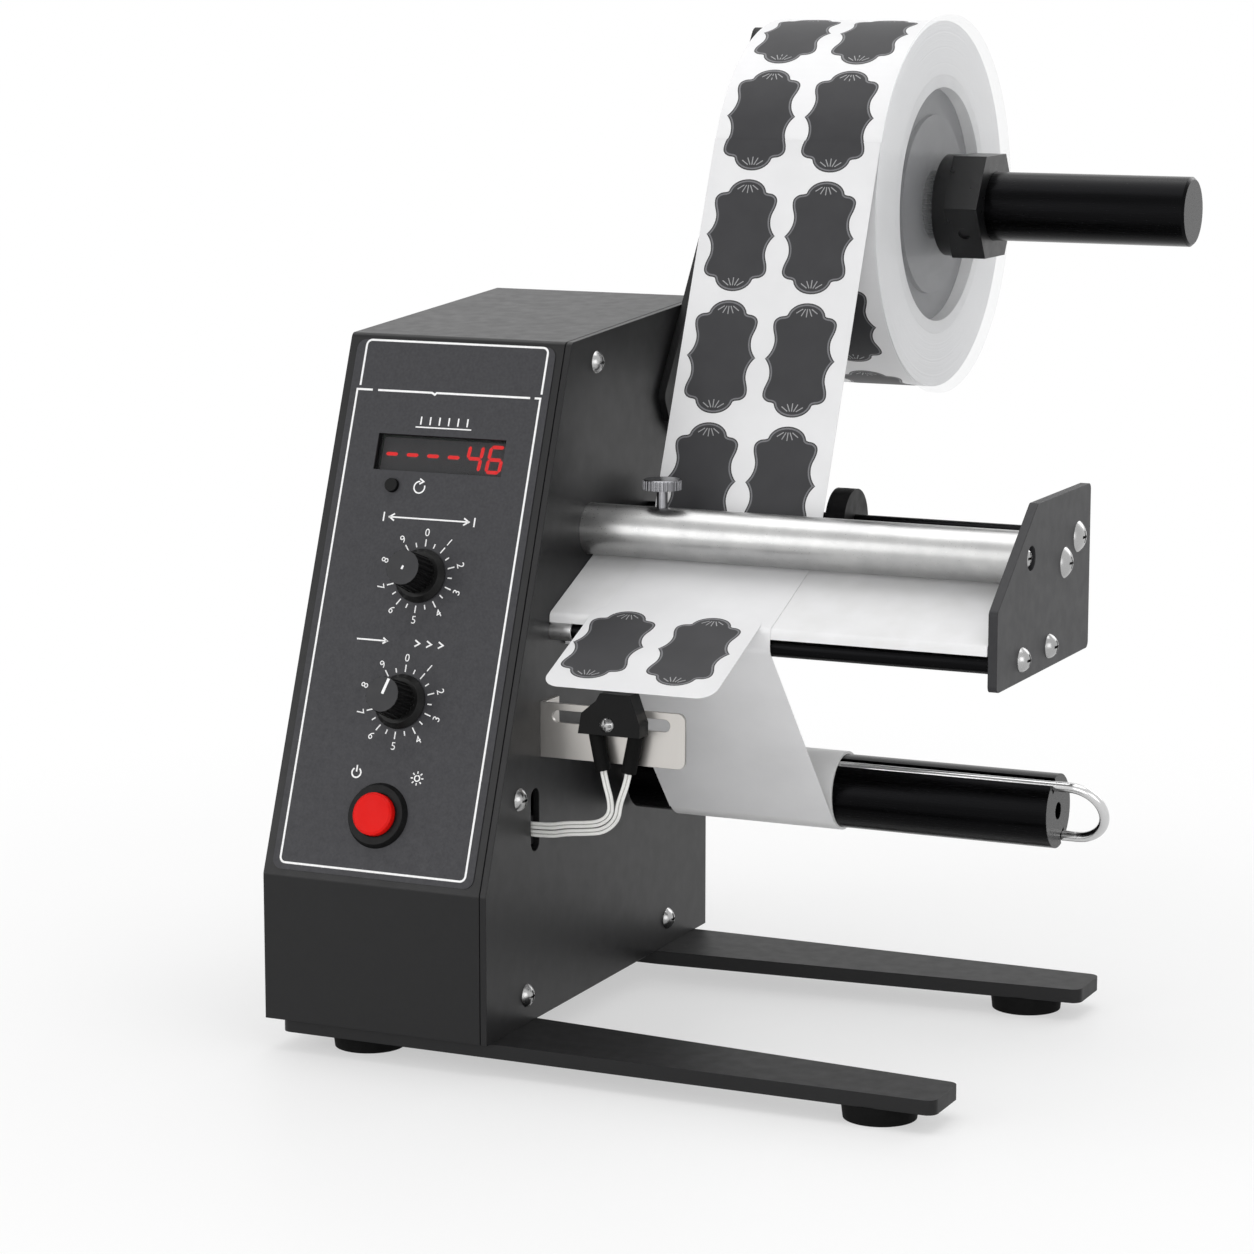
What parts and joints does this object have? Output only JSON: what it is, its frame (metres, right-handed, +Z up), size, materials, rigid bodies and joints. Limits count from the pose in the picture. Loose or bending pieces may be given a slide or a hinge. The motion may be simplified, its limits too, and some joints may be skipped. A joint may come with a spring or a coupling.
{
  "type": "label dispenser",
  "caption": "Desktop label dispenser: sloped control case on two foot bars, label roll on an arm, peeling platform with sensor, driven take-up roller and wire clip.",
  "frame": {"origin": "centre of the bounding box on the plane that the rubber feet stand on", "axes": "+X from the case towards the end plate, along the rollers; +Y from the control panel to the back; +Z up"},
  "size_m": [0.2936, 0.308, 0.391],
  "materials": {
    "case_paint": "satin",
    "bar_paint": "satin",
    "overlay": "fine grained",
    "window": "smoked",
    "digits": "lit segments",
    "board": "coated board",
    "knob": "satin",
    "red_button": "gloss",
    "black_plastic": "semi-gloss",
    "steel": "satin",
    "screw_steel": "bright",
    "tube_aluminium": "fine blasted",
    "chrome": "mirror",
    "black_anodised": "black anodised",
    "motor_metal": "cast",
    "rubber": "matte",
    "wire_white": "satin",
    "web_paper": "silky",
    "core_board": "matte",
    "clear_disc": "clear"
  },
  "bodies": {
    "frame": {"base_plate": "case_paint", "case_screws": "screw_steel", "case_shell": "case_paint", "digit_modules": "digits", "display_board": "board", "display_window": "window", "end_plate": "bar_paint", "end_plate_screws": "screw_steel", "front_foot_bar": "bar_paint", "gear_motor": "motor_metal", "guide_rod": "black_anodised", "guide_tube": "tube_aluminium", "label_web": "web_paper", "main_board": "board", "panel_overlay": "overlay", "panel_switches": "black_plastic", "peel_shaft": "screw_steel", "peeled_label": "web_paper", "platform": "steel", "potentiometers": "motor_metal", "power_bezel": "black_plastic", "power_inlet": "black_plastic", "power_supply": "motor_metal", "rear_foot_bar": "bar_paint", "rod_bush": "black_plastic", "rubber_feet": "rubber", "sensor_bracket": "steel", "sensor_connector": "wire_white", "sensor_wire_1": "wire_white", "sensor_wire_2": "wire_white", "sensor_wire_3": "wire_white", "sensor_wire_4": "wire_white", "shaft_bearing": "steel", "side_plate": "case_paint", "stand_screws": "screw_steel", "supply_arm": "bar_paint", "tie_rod": "steel"},
    "length_knob_body": {"length_knob": "knob"},
    "speed_knob_body": {"speed_knob": "knob"},
    "power_button_body": {"power_button": "red_button"},
    "reset_button_body": {"reset_button": "black_plastic"},
    "take_up": {"take_up_shaft": "steel", "take_up_roller": "black_anodised", "wound_backing": "web_paper"},
    "clip": {"paper_clip": "chrome"},
    "supply_spindle": {"supply_rod": "black_anodised", "inner_hub": "black_plastic", "roll_core": "core_board", "label_roll": "web_paper", "core_adapters": "black_plastic"},
    "outer_hub_body": {"outer_hub": "black_anodised", "outer_disc": "clear_disc"},
    "left_collar": {"guide_collar_left": "black_plastic"},
    "right_collar": {"guide_collar_right": "black_plastic"},
    "sensor": {"sensor_block": "black_plastic", "sensor_screw": "screw_steel", "sensor_boots": "rubber"},
    "thumbscrew_body": {"thumbscrew": "screw_steel"},
    "peel_roller": {"peel_bar": "black_anodised"}
  },
  "joints": [
    {"name": "length_knob_turn", "type": "hinge", "parent": "frame", "child": "length_knob_body", "pos_m": [-0.09997, -0.11155, 0.1812], "axis": [0, 0.9348, -0.3552], "range_deg": [-10, 290]},
    {"name": "speed_knob_turn", "type": "hinge", "parent": "frame", "child": "speed_knob_body", "pos_m": [-0.09997, -0.12896, 0.1354], "axis": [0, 0.9348, -0.3552], "range_deg": [-10, 290]},
    {"name": "power_button_press", "type": "slide", "parent": "frame", "child": "power_button_body", "axis": [0, 0.9348, -0.3552], "range_m": [0, 0.003], "stiffness_N_per_m": 500},
    {"name": "reset_button_press", "type": "slide", "parent": "frame", "child": "reset_button_body", "axis": [0, 0.9348, -0.3552], "range_m": [0, 0.0008], "stiffness_N_per_m": 500},
    {"name": "take_up_spin", "type": "hinge", "parent": "frame", "child": "take_up", "pos_m": [-0.05178, -0.021, 0.0923], "axis": [1, 0, 0], "continuous": true},
    {"name": "clip_pull", "type": "slide", "parent": "take_up", "child": "clip", "axis": [1, 0, 0], "range_m": [0, 0.16]},
    {"name": "supply_spin", "type": "hinge", "parent": "frame", "child": "supply_spindle", "pos_m": [-0.05178, 0.078, 0.315], "axis": [1, 0, 0], "continuous": true},
    {"name": "outer_hub_slide", "type": "slide", "parent": "supply_spindle", "child": "outer_hub_body", "axis": [1, 0, 0], "range_m": [0, 0.07]},
    {"name": "left_collar_slide", "type": "slide", "parent": "frame", "child": "left_collar", "axis": [1, 0, 0], "range_m": [-0.009, 0]},
    {"name": "right_collar_slide", "type": "slide", "parent": "frame", "child": "right_collar", "axis": [1, 0, 0], "range_m": [0, 0.07]},
    {"name": "sensor_slide", "type": "slide", "parent": "frame", "child": "sensor", "axis": [1, 0, 0], "range_m": [-0.018, 0.016], "deforming": ["sensor_wire_1", "sensor_wire_2", "sensor_wire_3", "sensor_wire_4"]},
    {"name": "thumbscrew_turn", "type": "hinge", "parent": "frame", "child": "thumbscrew_body", "pos_m": [-0.02138, -0.062, 0.196], "axis": [0, 0, 1], "range_deg": [0, 720]},
    {"name": "peel_roller_spin", "type": "hinge", "parent": "frame", "child": "peel_roller", "pos_m": [-0.05178, -0.0953, 0.1616], "axis": [1, 0, 0], "continuous": true}
  ]
}
